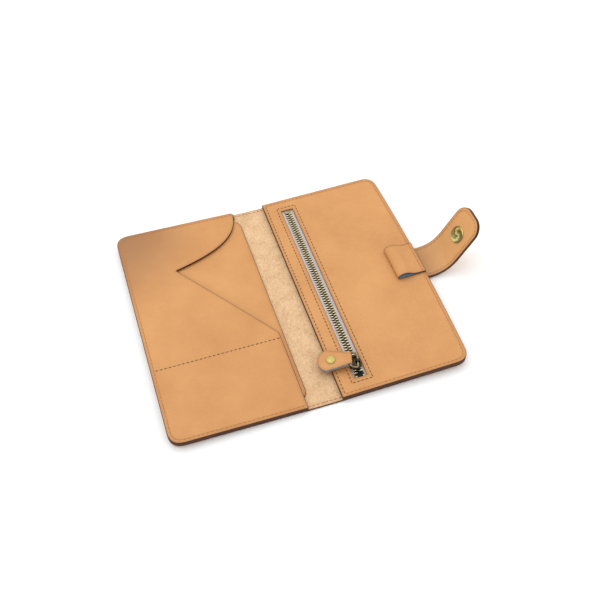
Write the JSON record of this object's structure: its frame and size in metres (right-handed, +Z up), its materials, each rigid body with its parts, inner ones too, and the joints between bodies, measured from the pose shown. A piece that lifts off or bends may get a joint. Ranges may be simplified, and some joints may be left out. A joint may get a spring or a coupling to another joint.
{
  "type": "long wallet",
  "caption": "Long two-fold leather wallet lying open, with notched card pockets, a zipped pocket, a pen loop and a snap strap that curls up from its edge.",
  "frame": {"origin": "centre of the spine's outer face, which lies on the table", "axes": "+X across the right (zipped) half, +Y along the spine towards the far edge, +Z up off the table"},
  "size_m": [0.271, 0.2, 0.0456],
  "materials": {
    "grain_leather": "vegetable-tanned, smooth grain, satin",
    "flesh_leather": "flesh side, brushed, matte",
    "edge_leather": "dyed and burnished edge",
    "thread": "waxed thread",
    "zip_tape": "woven tape, matte",
    "blue_lining": "woven cloth, matte",
    "tooth_brass": "antique brass",
    "bright_brass": "polished brass",
    "dark_brass": "dark antique brass"
  },
  "bodies": {
    "left_half": {"cover_left": "grain_leather", "card_pocket_gusset": "edge_leather", "card_panel_under": "grain_leather", "card_panel_front": "grain_leather", "thread_left_edge": "thread", "thread_divider": "thread", "snap_stud": "bright_brass", "snap_stud_post": "bright_brass"},
    "spine": {"cover_spine": "flesh_leather", "thread_spine_near": "thread", "thread_spine_far": "thread"},
    "right_half": {"cover_right": "grain_leather", "zip_pocket_lining": "blue_lining", "zip_pocket_gusset": "edge_leather", "zip_tape_left": "zip_tape", "zip_tape_right": "zip_tape", "zip_teeth_left": "tooth_brass", "zip_teeth_right": "tooth_brass", "zip_near_stop_left": "tooth_brass", "zip_near_stop_right": "tooth_brass", "zip_far_stop": "tooth_brass", "zip_panel": "grain_leather", "thread_right_edge": "thread", "thread_zip_window": "thread", "pen_loop": "grain_leather", "thread_pen_loop": "thread", "strap_root_lining": "grain_leather", "strap_root_outer": "grain_leather"},
    "slider": {"slider_body": "dark_brass"},
    "swivel": {"slider_bridge": "dark_brass"},
    "link": {"pull_link": "dark_brass"},
    "tab": {"pull_tab": "grain_leather", "tab_rivet_cap": "bright_brass", "tab_rivet_base": "bright_brass"},
    "strap_base": {"strap_base_lining": "grain_leather", "strap_base_outer": "grain_leather", "thread_strap_base_near": "thread", "thread_strap_base_far": "thread"},
    "strap_tip": {"strap_tip_lining": "grain_leather", "strap_tip_outer": "grain_leather", "thread_strap_tip": "thread", "snap_socket": "bright_brass", "snap_cap": "bright_brass"}
  },
  "joints": [
    {"name": "fold_right", "type": "hinge", "parent": "right_half", "child": "spine", "pos_m": [0.0085, 0, 0.0015], "axis": [0, 1, 0], "range_deg": [0, 88.2]},
    {"name": "fold_left", "type": "hinge", "parent": "spine", "child": "left_half", "pos_m": [-0.0085, 0, 0.0015], "axis": [0, 1, 0], "range_deg": [0, 88.7]},
    {"name": "zip_slide", "type": "slide", "parent": "right_half", "child": "slider", "axis": [0, 1, 0], "range_m": [0, 0.152]},
    {"name": "puller_swivel", "type": "hinge", "parent": "slider", "child": "swivel", "pos_m": [0.03125, -0.075, 0.00652], "axis": [0.0315, 0, -0.9995], "range_deg": [0, 74]},
    {"name": "link_swing", "type": "hinge", "parent": "swivel", "child": "link", "pos_m": [0.03332, -0.07561, 0.00799], "axis": [-0.2755, -0.9613, -0.0087], "range_deg": [-95, 0]},
    {"name": "tab_swing", "type": "hinge", "parent": "link", "child": "tab", "pos_m": [0.0272, -0.07388, 0.01113], "axis": [-0.2755, -0.9613, -0.0087], "range_deg": [-85, 0]},
    {"name": "strap_root", "type": "hinge", "parent": "right_half", "child": "strap_base", "pos_m": [0.1162, 0, 0.00324], "axis": [0, -1, 0], "range_deg": [-8, 57.42], "stiffness_Nm_per_rad": 0.06},
    {"name": "strap_bend", "type": "hinge", "parent": "strap_base", "child": "strap_tip", "pos_m": [0.13603, 0, 0.01089], "axis": [0, -1, 0], "range_deg": [-25, 63.08], "stiffness_Nm_per_rad": 0.06}
  ],
  "couplings": [
    {"joint": "fold_left", "follows": "fold_right", "ratio": 1.0057},
    {"joint": "puller_swivel", "follows": "fold_right", "ratio": 0.83904}
  ]
}
